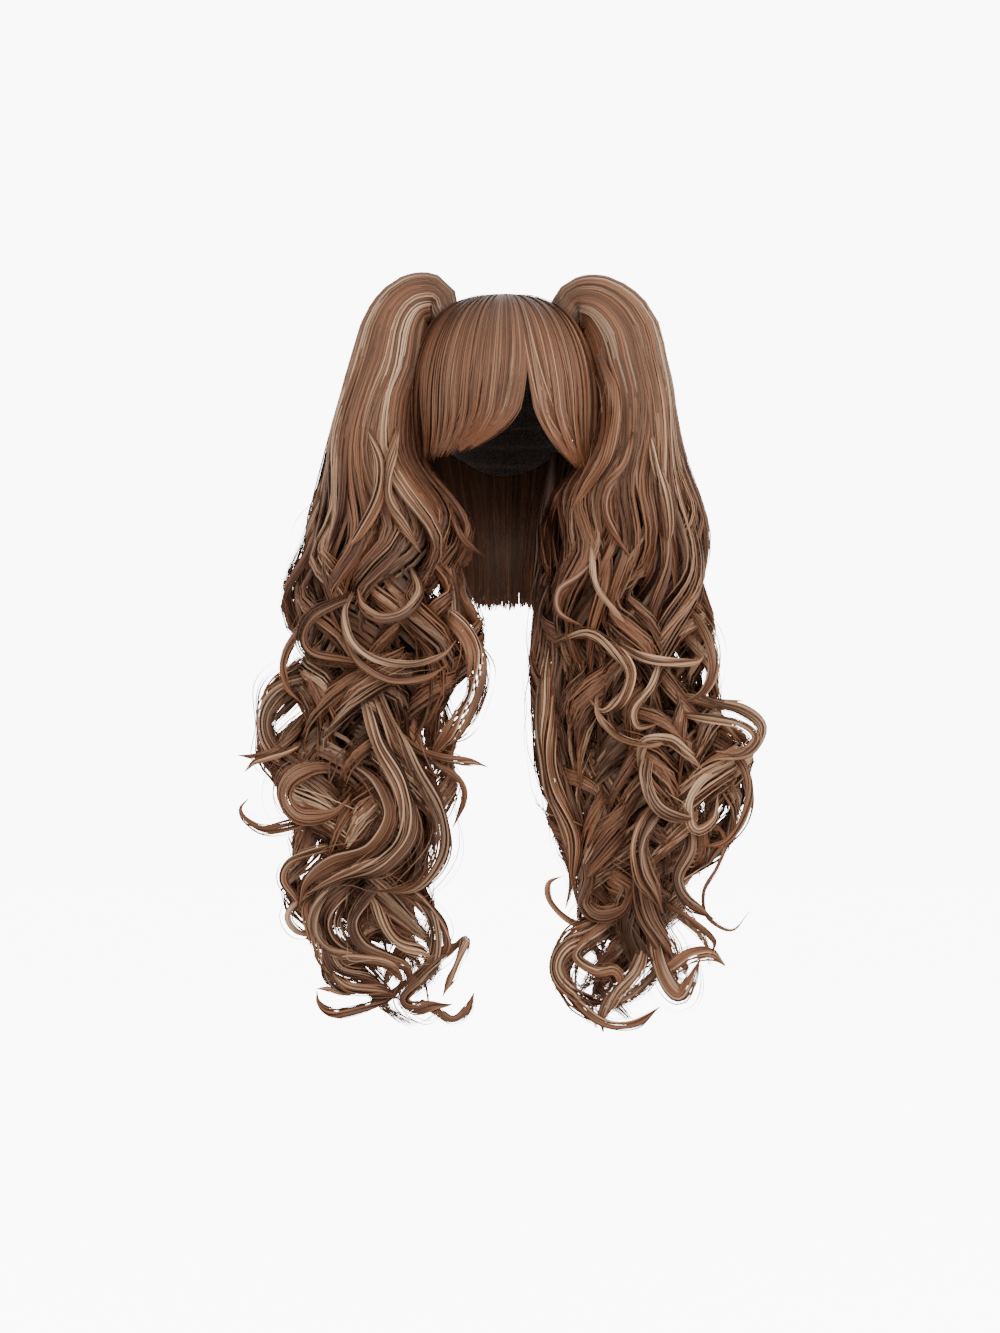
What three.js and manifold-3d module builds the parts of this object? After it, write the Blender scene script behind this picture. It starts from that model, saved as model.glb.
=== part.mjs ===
// A wig with two pigtails: a net cap that carries a wefted bob with a parted fringe, and two long curled
// tails tied on high at the sides. Millimetres, +Z up, the face towards -Y, so that +X is to the right
// of someone who looks at the face. The origin is the inside of the cap at the crown, where a head meets it.
import * as THREE from "three";
import Module from "manifold-3d";

const wasm = await Module();
wasm.setup();

const degrees = Math.PI / 180;
const mix = THREE.MathUtils.lerp;
const ease = (share) => THREE.MathUtils.smoothstep(share, 0, 1);

// Pieces that lie on each other keep this gap.
const clearance = 0.3;

// The head that the wig is cut for, and how square the dome's shoulders are: 1 is an ellipsoid, less is fuller.
const headWidth = 150;
const headDepth = 190;
const crownHeight = 105;
const crownFullness = 0.86;

// Net cap, with the drop of its hem below the crown at the forehead, at the ears and at the nape.
const capWall = 2;
const foreheadHem = 58;
const earHem = 112;
const napeHem = 158;
const earTurn = 85;

// Hair sewn on the cap: how thick a sheet lies, how high its locks stand in ribs, and how far its tips are cut in.
const hairThickness = 7;
const ribHeight = 1.6;
const tipNotch = 11;

// How far the tips of each part of the bob hang below the crown.
const fringeDrop = 148;
const sideDrop = 246;
const backDrop = 305;

// Below the head's widest level the hair draws in to the neck over this height, by this share of its width.
const neckHeight = 150;
const neckCling = 0.36;

// Hair ties, the rings that the tails are drawn through, and where they sit: the drop below the crown of the
// place on the dome, how far it is turned from the face, how far the ring leans out from upright, and how deep
// it is pressed into the hair.
const tieBore = 26;
const tieWall = 5;
const tieHeight = 13;
const tieDrop = 21;
const tieTurn = 86;
const tieLean = 30;
const tieSink = 3;

// Tails: the fall from the ties to the lowest tip, how far out past the tie the middle of the fall lies, the
// widest spread of the curls across and from front to back, and how far the fall comes forward of the tie.
const tailDrop = 692;
const tailReach = 72;
const tailWidth = 184;
const tailDepth = 100;
const tailForward = 48;

// One lock of a tail: the half width and half thickness of a full one.
const lockHalfWidth = 15;
const lockHalfThickness = 8;

const brown = new THREE.MeshStandardMaterial({ color: 0x6b4028, roughness: 0.5, metalness: 0 });
const warmBrown = new THREE.MeshStandardMaterial({ color: 0x7d4d30, roughness: 0.5, metalness: 0 });
const darkBrown = new THREE.MeshStandardMaterial({ color: 0x3d261b, roughness: 0.6, metalness: 0 });
const netBlack = new THREE.MeshStandardMaterial({ color: 0x241a16, roughness: 0.85, metalness: 0 });

// A closed solid from points and triangles. Points that fall together are welded, and a body that came out
// inside out, as a mirrored one does, is turned round.
function solidFrom(points, triangles) {
  const seen = new Map();
  const positions = [];
  const welded = points.map((p) => {
    const key = [p.x, p.y, p.z].map((value) => Math.round(value * 1000)).join(" ");
    if (!seen.has(key)) {
      seen.set(key, positions.length / 3);
      positions.push(p.x, p.y, p.z);
    }
    return seen.get(key);
  });
  const corners = triangles
    .map((triangle) => triangle.map((corner) => welded[corner]))
    .filter(([a, b, c]) => a !== b && b !== c && c !== a);
  const made = (faces) =>
    new wasm.Manifold(
      new wasm.Mesh({
        numProp: 3,
        vertProperties: new Float32Array(positions),
        triVerts: new Uint32Array(faces.flat()),
      }),
    );
  const solid = made(corners);
  return solid.volume() > 0 ? solid : made(corners.map(([a, b, c]) => [a, c, b]));
}

// The two triangles of each square of a grid whose rows are `across` points long.
function gridTriangles(across, rows, start, turned) {
  const faces = [];
  for (let j = 0; j < rows - 1; j++) {
    for (let i = 0; i < across - 1; i++) {
      const a = start + j * across + i;
      const c = a + across;
      faces.push(turned ? [a, a + 1, c] : [a, c, a + 1]);
      faces.push(turned ? [a + 1, c + 1, c] : [a + 1, c, c + 1]);
    }
  }
  return faces;
}

// A sheet with two faces: a grid of points for each face, and walls round the edge between them. A sheet that
// goes all the way round has no side walls.
function sheetSolid(across, rows, outer, inner, goesRound = false) {
  const points = [outer, inner].flatMap((face) =>
    Array.from({ length: across * rows }, (_, k) =>
      face((k % across) / (across - 1), Math.floor(k / across) / (rows - 1)),
    ),
  );
  const other = across * rows;
  const faces = [...gridTriangles(across, rows, 0, false), ...gridTriangles(across, rows, other, true)];
  const wall = (a, b) => faces.push([a, b, a + other], [b, b + other, a + other]);
  for (let i = 0; i < across - 1; i++) {
    wall(i, i + 1);
    wall((rows - 1) * across + i + 1, (rows - 1) * across + i);
  }
  for (let j = 0; j < rows - 1 && !goesRound; j++) {
    wall((j + 1) * across, j * across);
    wall(j * across + across - 1, (j + 1) * across + across - 1);
  }
  return solidFrom(points, faces);
}

function meshOf(name, solid, material) {
  const { numProp, vertProperties, triVerts } = solid.getMesh();
  const position = new THREE.InterleavedBuffer(vertProperties, numProp);
  const geometry = new THREE.BufferGeometry()
    .setAttribute("position", new THREE.InterleavedBufferAttribute(position, 3, 0))
    .setIndex(new THREE.BufferAttribute(triVerts, 1));
  const mesh = new THREE.Mesh(geometry.toNonIndexed(), material);
  mesh.geometry.computeVertexNormals();
  mesh.name = name;
  return mesh;
}

// The head's form. A run is the way down the hair from the crown, over the dome and on down past it.
const quarterRun = (Math.PI / 4) * (headWidth / 2 + crownHeight);

function runTo(drop) {
  if (drop >= crownHeight) return quarterRun + drop - crownHeight;
  const rise = (1 - drop / crownHeight) ** (1 / crownFullness);
  return (quarterRun * Math.acos(rise)) / (90 * degrees);
}

// How wide the form is at a run, as a share of its widest. Below the widest level it is upright, or drawn in
// towards the neck by the share `cling`.
function roundAt(run, cling) {
  const tilt = Math.min(run / quarterRun, 1) * 90 * degrees;
  const below = Math.max(run - quarterRun, 0);
  return Math.sin(tilt) ** crownFullness * (1 - cling * ease(below / neckHeight));
}

// A point on the head's form grown by `lift`, `turn` degrees round from the face towards +X.
function onHead(turn, run, lift, cling = 0) {
  const tilt = Math.min(run / quarterRun, 1) * 90 * degrees;
  const below = Math.max(run - quarterRun, 0);
  const round = roundAt(run, cling);
  return new THREE.Vector3(
    (headWidth / 2 + lift) * round * Math.sin(turn * degrees),
    -(headDepth / 2 + lift) * round * Math.cos(turn * degrees),
    (crownHeight + lift) * Math.max(Math.cos(tilt), 0) ** crownFullness - crownHeight - below,
  );
}

// Net cap

function hemDrop(turn) {
  const away = Math.abs(turn);
  if (away < earTurn) return mix(foreheadHem, earHem, ease(away / earTurn));
  return mix(earHem, napeHem, ease((away - earTurn) / (180 - earTurn)));
}

function capSolid() {
  const face = (lift) => (around, down) => {
    const turn = mix(-180, 180, around);
    return onHead(turn, down * runTo(hemDrop(turn)), lift, neckCling);
  };
  return sheetSolid(29, 9, face(capWall), face(0), true);
}

// Hair sewn on the cap, one row for each sheet. Turns are degrees round from the face: where the sheet's two
// edges leave the crown and where they end. Drops are shares of the sheet's own drop. `sweep` is how late the
// locks turn aside, `cling` how far they draw in to the neck, `flare` how far the tips stand off, as a share
// of the hair's thickness, and `locks` how many ribs it has.
const sheets = [
  {
    name: "fringe_left", drop: fringeDrop, roots: [-68, 14], tips: [-62, -16], ends: [1.1, 0.98],
    sweep: 8, cling: 0, flare: 0.8, locks: 6, rows: 10,
  },
  {
    name: "fringe_right", drop: fringeDrop, roots: [14, 68], tips: [47, 61], ends: [1.1, 1.12],
    sweep: 5, cling: 0, flare: 0.8, locks: 4, rows: 10,
  },
  {
    name: "side_hair_left", drop: sideDrop, roots: [-114, -68], tips: [-112, -40], ends: [1, 1],
    sweep: 6, cling: neckCling, flare: 0, locks: 3, rows: 14,
  },
  {
    name: "side_hair_right", drop: sideDrop, roots: [68, 114], tips: [30, 112], ends: [1.28, 1.24],
    sweep: 4, cling: neckCling, flare: 0, locks: 3, rows: 14,
  },
  {
    name: "back_hair", drop: backDrop, roots: [114, 246], tips: [115, 245], ends: [0.96, 0.96],
    sweep: 4, cling: neckCling, flare: 0, locks: 7, rows: 14,
  },
];
const crownStart = 3;
const thinTips = 0.45;

// The room for the head and neck, filled out into the hair: what hangs beside it keeps out.
function headSolid() {
  const run = (down) => down * runTo(1.1 * backDrop);
  const lift = capWall + clearance + 0.3 * hairThickness;
  const face = (around, down) => onHead(mix(-180, 180, around), run(down), lift, neckCling);
  const middle = (around, down) => new THREE.Vector3(0, 0, face(around, down).z);
  return sheetSolid(31, 12, face, middle, true);
}

// A sheet's solid. Grown, it is bigger all round by `grow`, reaches into the head's room, and its tips aren't
// cut in.
function hairSolid(sheet, grow = 0) {
  const across = 2 * sheet.locks + 1;
  const alongStep = runTo(sheet.drop) / (sheet.rows - 1);
  const acrossStep = (((sheet.roots[1] - sheet.roots[0]) * degrees) / (across - 1)) * (headDepth / 2);
  const facetDip = (alongStep ** 2 + acrossStep ** 2) / (3 * headWidth);
  const liftIn = capWall + clearance + facetDip;
  const face = (lift, ribbed) => (side, down) => {
    const rib = Math.abs(Math.cos(Math.PI * sheet.locks * side));
    const drop = sheet.drop * mix(...sheet.ends, side) - tipNotch * rib;
    const past = grow && (down === 1 ? grow + tipNotch * rib : down === 0 ? -grow : 0);
    const run = mix(crownStart, runTo(drop), down) + past;
    const inset = (clearance / 2 - grow) / ((headWidth / 2) * roundAt(run, sheet.cling)) / degrees;
    const edge = mix(inset, -inset, side);
    const turn = mix(mix(...sheet.roots, side), mix(...sheet.tips, side), down ** sheet.sweep);
    const settled = ease(run / (crownHeight / 3));
    const stand = sheet.flare * hairThickness * ease(down) + (ribbed ? ribHeight * (1 - rib) * settled : 0);
    return onHead(turn + edge, run, lift(down) + stand, sheet.cling);
  };
  const thick = (down) => hairThickness * mix(1, thinTips, ease((down - 0.6) / 0.4));
  const outer = face((down) => liftIn + thick(down) + grow, true);
  const inner = face(() => liftIn - (grow ? capWall : 0), false);
  return sheetSolid(across, sheet.rows, outer, inner);
}

// Tails. Each row is a section of the fall: how far down it is as a share of the drop, how far out past the
// tie as a share of the reach, its spread across and from front to back as shares of the widest, and how far
// forward it lies.
const rightSections = [
  { down: 0.0, out: 0.0, wide: 0.15, deep: 0.28, forward: 0.0 },
  { down: -0.012, out: 0.12, wide: 0.25, deep: 0.42, forward: 0.0 },
  { down: -0.004, out: 0.42, wide: 0.33, deep: 0.58, forward: 0.05 },
  { down: 0.028, out: 0.66, wide: 0.38, deep: 0.64, forward: 0.15 },
  { down: 0.078, out: 0.75, wide: 0.39, deep: 0.68, forward: 0.28 },
  { down: 0.126, out: 0.85, wide: 0.41, deep: 0.72, forward: 0.42 },
  { down: 0.195, out: 0.9, wide: 0.5, deep: 0.8, forward: 0.62 },
  { down: 0.264, out: 0.77, wide: 0.72, deep: 0.88, forward: 0.8 },
  { down: 0.333, out: 0.7, wide: 0.87, deep: 0.95, forward: 0.95 },
  { down: 0.402, out: 0.73, wide: 0.95, deep: 1.0, forward: 1.0 },
  { down: 0.47, out: 0.76, wide: 0.97, deep: 1.0, forward: 1.0 },
  { down: 0.538, out: 0.8, wide: 1.01, deep: 1.0, forward: 1.0 },
  { down: 0.607, out: 1.08, wide: 1.16, deep: 1.0, forward: 1.0 },
  { down: 0.676, out: 1.04, wide: 1.08, deep: 0.98, forward: 1.0 },
  { down: 0.744, out: 0.95, wide: 0.86, deep: 0.92, forward: 1.0 },
  { down: 0.79, out: 0.76, wide: 0.72, deep: 0.88, forward: 0.95 },
  { down: 0.84, out: 0.8, wide: 0.82, deep: 0.82, forward: 0.9 },
  { down: 0.895, out: 0.88, wide: 0.9, deep: 0.76, forward: 0.9 },
  { down: 0.945, out: 0.82, wide: 0.84, deep: 0.66, forward: 0.9 },
  { down: 1.0, out: 0.66, wide: 0.6, deep: 0.5, forward: 0.9 },
];
const leftSections = [
  { down: 0.0, out: 0.0, wide: 0.15, deep: 0.28, forward: 0.0 },
  { down: -0.015, out: 0.08, wide: 0.26, deep: 0.42, forward: 0.0 },
  { down: -0.006, out: 0.36, wide: 0.32, deep: 0.58, forward: 0.05 },
  { down: 0.028, out: 0.57, wide: 0.37, deep: 0.64, forward: 0.15 },
  { down: 0.078, out: 0.68, wide: 0.39, deep: 0.68, forward: 0.28 },
  { down: 0.126, out: 0.8, wide: 0.38, deep: 0.72, forward: 0.42 },
  { down: 0.195, out: 0.84, wide: 0.48, deep: 0.8, forward: 0.62 },
  { down: 0.264, out: 0.77, wide: 0.7, deep: 0.88, forward: 0.8 },
  { down: 0.333, out: 0.66, wide: 0.86, deep: 0.95, forward: 0.95 },
  { down: 0.402, out: 0.8, wide: 0.95, deep: 1.0, forward: 1.0 },
  { down: 0.47, out: 0.7, wide: 1.0, deep: 1.0, forward: 1.0 },
  { down: 0.538, out: 0.9, wide: 1.08, deep: 1.0, forward: 1.0 },
  { down: 0.607, out: 1.1, wide: 1.02, deep: 1.0, forward: 1.0 },
  { down: 0.676, out: 0.94, wide: 1.0, deep: 0.98, forward: 1.0 },
  { down: 0.744, out: 0.84, wide: 0.86, deep: 0.92, forward: 1.0 },
  { down: 0.79, out: 1.04, wide: 0.82, deep: 0.88, forward: 0.95 },
  { down: 0.84, out: 1.0, wide: 0.84, deep: 0.82, forward: 0.9 },
  { down: 0.885, out: 0.7, wide: 0.88, deep: 0.76, forward: 0.9 },
  { down: 0.935, out: 0.6, wide: 0.8, deep: 0.64, forward: 0.9 },
  { down: 0.985, out: 0.5, wide: 0.56, deep: 0.5, forward: 0.9 },
];

// The locks of a tail. `lane` is the place across it, 1 at the outer edge, and `layer` from front, -1, to
// back. `end` is the share of the tail's length that the lock has. It winds round its lane with the radius
// `swing`, in half widths of a lock, `turns` times, starting at the turn `phase`. `roll` is how far the
// winding lifts and drops, so that curls lie over: 0 only sways.
const rightLocks = [
  { lane: -1.05, layer: 0.2, end: 0.98, swing: 1.0, turns: 4.6, phase: 0.3, roll: 0.25, girth: 1.2 },
  { lane: -0.62, layer: -0.85, end: 0.96, swing: 1.3, turns: 5.2, phase: 0.6, roll: 0.35, girth: 1.2 },
  { lane: 0.05, layer: -0.95, end: 1.0, swing: 1.5, turns: 5.2, phase: 0.55, roll: 0.45, girth: 1.2 },
  { lane: 0.72, layer: -0.65, end: 0.97, swing: 1.7, turns: 4.8, phase: 0.2, roll: 0.5, girth: 1.2 },
  { lane: 1.08, layer: 0.1, end: 0.93, swing: 1.6, turns: 5.0, phase: 0.65, roll: 0.45, girth: 1.2 },
  { lane: 0.5, layer: 0.85, end: 0.98, swing: 1.4, turns: 5.2, phase: 0.35, roll: 0.4, girth: 1.2 },
  { lane: -0.3, layer: 0.9, end: 1.0, swing: 1.3, turns: 5.0, phase: 0.9, roll: 0.35, girth: 1.2 },
];
const leftLocks = [
  { lane: -1.05, layer: 0.2, end: 0.94, swing: 1.1, turns: 4.6, phase: 0.75, roll: 0.3, girth: 1.2 },
  { lane: -0.62, layer: -0.85, end: 0.99, swing: 1.4, turns: 5.0, phase: 0.2, roll: 0.4, girth: 1.2 },
  { lane: 0.05, layer: -0.95, end: 1.0, swing: 1.6, turns: 5.4, phase: 0.1, roll: 0.45, girth: 1.2 },
  { lane: 0.72, layer: -0.65, end: 0.97, swing: 1.6, turns: 5.0, phase: 0.75, roll: 0.45, girth: 1.2 },
  { lane: 1.08, layer: 0.1, end: 0.95, swing: 1.6, turns: 4.8, phase: 0.4, roll: 0.45, girth: 1.2 },
  { lane: 0.5, layer: 0.85, end: 0.98, swing: 1.4, turns: 5.0, phase: 0.5, roll: 0.4, girth: 1.2 },
  { lane: -0.3, layer: 0.9, end: 0.99, swing: 1.3, turns: 5.2, phase: 0.05, roll: 0.35, girth: 1.2 },
];

// Where a tie sits on the hair, and the way that its ring faces.
const liftOfHair = capWall + clearance + hairThickness;
const tieSeat = onHead(tieTurn, runTo(tieDrop), liftOfHair);
const tieTop = tieHeight - tieSink;
const tieAxis = new THREE.Vector3(Math.sin(tieLean * degrees), 0, Math.cos(tieLean * degrees));
const mirrored = (side) => new THREE.Matrix4().makeScale(side, 1, 1);

// A hair tie on the +X side: a ring of wound elastic, round in section, bigger all round by `grow`.
function tieSolid(grow = 0) {
  const profile = Array.from({ length: 7 }, (_, k) => {
    const angle = (2 * Math.PI * k) / 6;
    return new THREE.Vector2(
      (tieBore + tieWall) / 2 + (tieWall / 2 + grow) * Math.cos(angle),
      (tieHeight / 2 + grow) * Math.sin(angle),
    );
  });
  const ring = new THREE.LatheGeometry(profile, 16)
    .applyQuaternion(new THREE.Quaternion().setFromUnitVectors(new THREE.Vector3(0, 1, 0), tieAxis))
    .translate(...tieSeat.clone().addScaledVector(tieAxis, tieHeight / 2 - tieSink).toArray());
  const { position } = ring.attributes;
  const corner = (_, k) => new THREE.Vector3().fromBufferAttribute(position, k);
  const faces = Array.from({ length: ring.index.count / 3 }, (_, k) => [0, 1, 2].map((i) => ring.index.getX(3 * k + i)));
  return solidFrom(Array.from({ length: position.count }, corner), faces);
}

// The curve that a tail falls along, on the +X side, and its half spreads, both from the rows of sections.
function fallOf(sections) {
  const exit = tieSeat.clone().addScaledVector(tieAxis, tieTop);
  const line = new THREE.CatmullRomCurve3(
    sections.map(
      ({ down, out, forward }) =>
        new THREE.Vector3(exit.x + out * tailReach, exit.y - forward * tailForward, exit.z - down * tailDrop),
    ),
    false,
    "catmullrom",
  );
  const spread = new THREE.CatmullRomCurve3(
    sections.map(({ wide, deep }) => new THREE.Vector3((wide * tailWidth) / 2, (deep * tailDepth) / 2, 0)),
    false,
    "catmullrom",
  );
  const frontToBack = new THREE.Vector3(0, 1, 0);
  return (share) => {
    const t = line.getUtoTmapping(THREE.MathUtils.clamp(share, 0, 1));
    const along = line.getTangent(t);
    const outward = new THREE.Vector3(-along.z, 0, along.x).normalize();
    const { x: wide, y: deep } = spread.getPoint(t);
    return { centre: line.getPoint(t), along, outward, frontToBack, wide, deep };
  };
}

// A rod of hair with an oval section: `place` gives its centre line and `size` its half width and half
// thickness, by the share of its length. Its flat side starts facing `facing` and is carried along the line.
function rodSolid(place, size, facing, steps, sides) {
  const centres = Array.from({ length: steps + 1 }, (_, k) => place(k / steps));
  const points = [];
  let flat = facing.clone();
  centres.forEach((centre, k) => {
    const before = centres[Math.max(k - 1, 0)];
    const after = centres[Math.min(k + 1, steps)];
    const along = after.clone().sub(before).normalize();
    flat.addScaledVector(along, -flat.dot(along)).normalize();
    const across = along.clone().cross(flat);
    const [half, thin] = size(k / steps);
    for (let i = 0; i < sides; i++) {
      const angle = (2 * Math.PI * i) / sides;
      points.push(
        centre.clone().addScaledVector(across, half * Math.cos(angle)).addScaledVector(flat, thin * Math.sin(angle)),
      );
    }
  });
  const faces = [];
  for (let k = 0; k < steps; k++) {
    for (let i = 0; i < sides; i++) {
      const a = k * sides + i;
      const b = k * sides + ((i + 1) % sides);
      faces.push([a, b, a + sides], [b, b + sides, a + sides]);
    }
  }
  for (let i = 1; i < sides - 1; i++) {
    faces.push([0, i + 1, i], [steps * sides, steps * sides + i, steps * sides + i + 1]);
  }
  return solidFrom(points, faces);
}

// The middle of a lock at the share `down` of its own length.
function lockPlace(fall, lock) {
  const wavesFrom = 0.1;
  const wavesFull = 0.62;
  const upperWave = 0.35;
  return (down) => {
    const share = down * lock.end;
    const { centre, along, outward, frontToBack, wide, deep } = fall(share);
    const open = ease((share - wavesFrom) / (wavesFull - wavesFrom));
    const swing = lock.swing * lockHalfWidth * mix(upperWave * ease(share / wavesFrom), 1, open);
    const turn = 2 * Math.PI * (lock.turns * share ** 1.25 + lock.phase);
    const room = (half) => Math.max(half - swing - lockHalfThickness * ease(share / wavesFrom), half / 4);
    return centre
      .clone()
      .addScaledVector(outward, lock.lane * room(wide) + swing * Math.cos(turn))
      .addScaledVector(frontToBack, lock.layer * room(deep) + 0.6 * swing * Math.sin(turn))
      .addScaledVector(along, lock.roll * swing * open * Math.sin(turn));
  };
}

function lockSize(lock) {
  const tip = 0.3;
  return (down) => {
    const full = lock.girth * mix(tip, 1, ease((1 - down) / 0.2)) * mix(0.25, 1, ease(down / 0.12));
    return [lockHalfWidth * full, lockHalfThickness * full];
  };
}

// Pockets that the locks close off between them are filled.
const filled = (solid) => wasm.Manifold.union(solid.decompose().filter((shell) => shell.volume() > 0));

// Steps are closer together over the crest, where the tail turns sharply.
const earlySteps = (share) => share ** 1.5;
const evenSteps = (share) => share ** 1.12;

function tailSolid(sections, locks) {
  const fall = fallOf(sections);
  const coreEnd = 0.95;
  const core = rodSolid(
    (k) => fall(coreEnd * earlySteps(k)).centre,
    (k) => {
      const down = coreEnd * earlySteps(k);
      const { wide, deep } = fall(down);
      const fill = mix(0.94, 0.64, ease((down - 0.15) / 0.4)) * mix(0.3, 1, ease((coreEnd - down) / 0.12));
      return [deep * fill, wide * fill];
    },
    fall(0).outward,
    14,
    6,
  );
  const rods = locks.map((lock) => {
    const place = lockPlace(fall, lock);
    const size = lockSize(lock);
    const facing = fall(0).outward.clone().multiplyScalar(lock.lane).addScaledVector(fall(0).frontToBack, lock.layer);
    return rodSolid((k) => place(evenSteps(k)), (k) => size(evenSteps(k)), facing, 23, 4);
  });
  const post = (from, to, radius) =>
    rodSolid(
      (up) => tieSeat.clone().addScaledVector(tieAxis, mix(from, to, up)),
      () => [radius, radius],
      fall(0).outward,
      1,
      12,
    );
  const roomForTie = post(-2 * tieHeight, tieTop + clearance, tieBore / 2 + tieWall + 2 * clearance);
  const neck = post(-tieSink, tieTop + tieWall, tieBore / 2 - 2 * clearance);
  return wasm.Manifold.union([core, ...rods]).subtract(roomForTie).add(neck);
}

const wig = new THREE.Group();
wig.add(meshOf("wig_cap", capSolid(), netBlack));
const keepOut = wasm.Manifold.union([headSolid(), ...sheets.map((sheet) => hairSolid(sheet, clearance))]);
for (const sheet of sheets) {
  wig.add(meshOf(sheet.name, hairSolid(sheet), sheet.name === "back_hair" ? brown : warmBrown));
}
for (const [end, side, sections, locks] of [
  ["left", -1, leftSections, leftLocks],
  ["right", 1, rightSections, rightLocks],
]) {
  const cut = (solid) => solid.transform(mirrored(side).elements).subtract(keepOut);
  const inPlace = (solid) => filled(cut(solid).simplify(clearance / 3));
  wig.add(meshOf(`tie_${end}`, inPlace(tieSolid()), darkBrown));
  wig.add(meshOf(`pigtail_${end}`, inPlace(tailSolid(sections, locks)), brown));
}
export default wig;
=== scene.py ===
# A wig with two curled pigtails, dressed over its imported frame. Metres, +Z up, the front towards -Y.
import math

import bpy
import numpy as np
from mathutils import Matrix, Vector


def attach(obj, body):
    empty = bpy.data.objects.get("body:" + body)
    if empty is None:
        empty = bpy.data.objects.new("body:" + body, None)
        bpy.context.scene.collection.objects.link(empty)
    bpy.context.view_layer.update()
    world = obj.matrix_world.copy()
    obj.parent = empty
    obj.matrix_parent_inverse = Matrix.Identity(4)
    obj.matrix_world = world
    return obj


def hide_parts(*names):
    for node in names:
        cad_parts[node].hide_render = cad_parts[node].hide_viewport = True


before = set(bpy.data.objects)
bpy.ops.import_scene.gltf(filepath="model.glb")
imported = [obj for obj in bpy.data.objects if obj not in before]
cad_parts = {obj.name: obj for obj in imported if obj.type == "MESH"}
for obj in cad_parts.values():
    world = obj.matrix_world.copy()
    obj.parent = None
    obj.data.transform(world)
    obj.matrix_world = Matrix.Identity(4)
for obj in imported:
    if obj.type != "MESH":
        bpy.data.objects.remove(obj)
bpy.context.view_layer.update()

# Camera: level with the middle of the tails and about three metres away, as for a shop picture. The picture
# is 1.27 m high where the wig hangs.
lens = 85.0
sensor = 36.0
picture_height = 1.266
away = picture_height * lens / sensor
middle = Vector((-0.0038, -0.03, -0.3453))
camera = bpy.data.objects.new("camera", bpy.data.cameras.new("camera"))
camera.data.lens = lens
camera.data.sensor_width = sensor
camera.location = middle + Vector((0, -away, 0))
camera.rotation_euler = (math.radians(90), 0, 0)
bpy.context.collection.objects.link(camera)
bpy.context.scene.camera = camera


# Net cap: an elastic net dome that every weft is sewn to. The knitted net is matt, nearly black, and bears
# stitched bands; only its inside shows, through the face opening.
class Dyed:
    """A socket in a material's tree. Arithmetic on it adds Math nodes, and `node` adds any other."""

    def __init__(self, tree, socket=None):
        self.tree = tree
        self.socket = socket

    def node(self, kind, settings=None, sockets=None, out=0):
        made = self.tree.nodes.new(kind)
        for name, value in (settings or {}).items():
            setattr(made, name, value)
        for key, value in (sockets or {}).items():
            if isinstance(value, Dyed):
                self.tree.links.new(value.socket, made.inputs[key])
            else:
                made.inputs[key].default_value = value
        return Dyed(self.tree, made.outputs[out])

    def maths(self, operation, a, b=0.0):
        return self.node("ShaderNodeMath", {"operation": operation}, {0: a, 1: b})

    def __add__(self, other):
        return self.maths("ADD", self, other)

    def __radd__(self, other):
        return self.maths("ADD", other, self)

    def __sub__(self, other):
        return self.maths("SUBTRACT", self, other)

    def __rsub__(self, other):
        return self.maths("SUBTRACT", other, self)

    def __mul__(self, other):
        return self.maths("MULTIPLY", self, other)

    def __rmul__(self, other):
        return self.maths("MULTIPLY", other, self)

    def held(self):
        """The same value, kept between 0 and 1."""
        return self.node("ShaderNodeClamp", None, {0: self})

    def blend(self, share, a, b):
        """Colour a, dyed over with b by the share."""
        return self.node("ShaderNodeMix", {"data_type": "RGBA"}, {0: share, 6: a, 7: b}, out=2)

    def part(self, vector, axis):
        return self.node("ShaderNodeSeparateXYZ", None, {0: vector}, out="XYZ".index(axis))

    def noise(self, vector, scale, **more):
        return self.node("ShaderNodeTexNoise", None, {"Vector": vector, "Scale": scale, **more})

    def relief(self, strength, distance):
        """A normal that bears this value as its height."""
        return self.node("ShaderNodeBump", None, {"Strength": strength, "Distance": distance, "Height": self})


def new_material(name):
    """An empty material, its Principled shader joined to the output, and a start for its sums."""
    material = bpy.data.materials.new(name)
    material.use_nodes = True
    tree = material.node_tree
    tree.nodes.clear()
    shader = tree.nodes.new("ShaderNodeBsdfPrincipled")
    output = tree.nodes.new("ShaderNodeOutputMaterial")
    tree.links.new(shader.outputs[0], output.inputs[0])
    return material, shader, Dyed(tree)


def into(shader, **sockets):
    """Joins values to the shader's sockets; underscores in their names stand for spaces."""
    for name, value in sockets.items():
        shader.id_data.links.new(value.socket, shader.inputs[name.replace("_", " ")])


def finish_node(node, material):
    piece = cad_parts[node]
    piece.data.materials.clear()
    piece.data.materials.append(material)


net_cells_a_metre = 420.0
band_pitch = 330.0
net_shadow = (0.024, 0.016, 0.013, 1)
net_thread = (0.11, 0.075, 0.06, 1)
net, shader, sums = new_material("cap_net")
shader.inputs["Roughness"].default_value = 0.85
shader.inputs["Sheen Weight"].default_value = 0.3
place = sums.node("ShaderNodeTexCoord", out="Object")
cells = {"Vector": place, "Scale": net_cells_a_metre}
holes = sums.node("ShaderNodeTexVoronoi", {"feature": "DISTANCE_TO_EDGE"}, cells, out="Distance")
threads = (1.0 - holes * 3.2).held()
bands = sums.maths("SINE", sums.part(place, "Z") * band_pitch) * 0.5 + 0.5
seams = sums.maths("POWER", bands, 9.0)
into(
    shader,
    Base_Color=sums.blend((threads * 0.7 + seams * 0.5).held(), net_shadow, net_thread),
    Normal=(threads + seams).relief(0.6, 0.0008),
)
finish_node("wig_cap", net)


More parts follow.
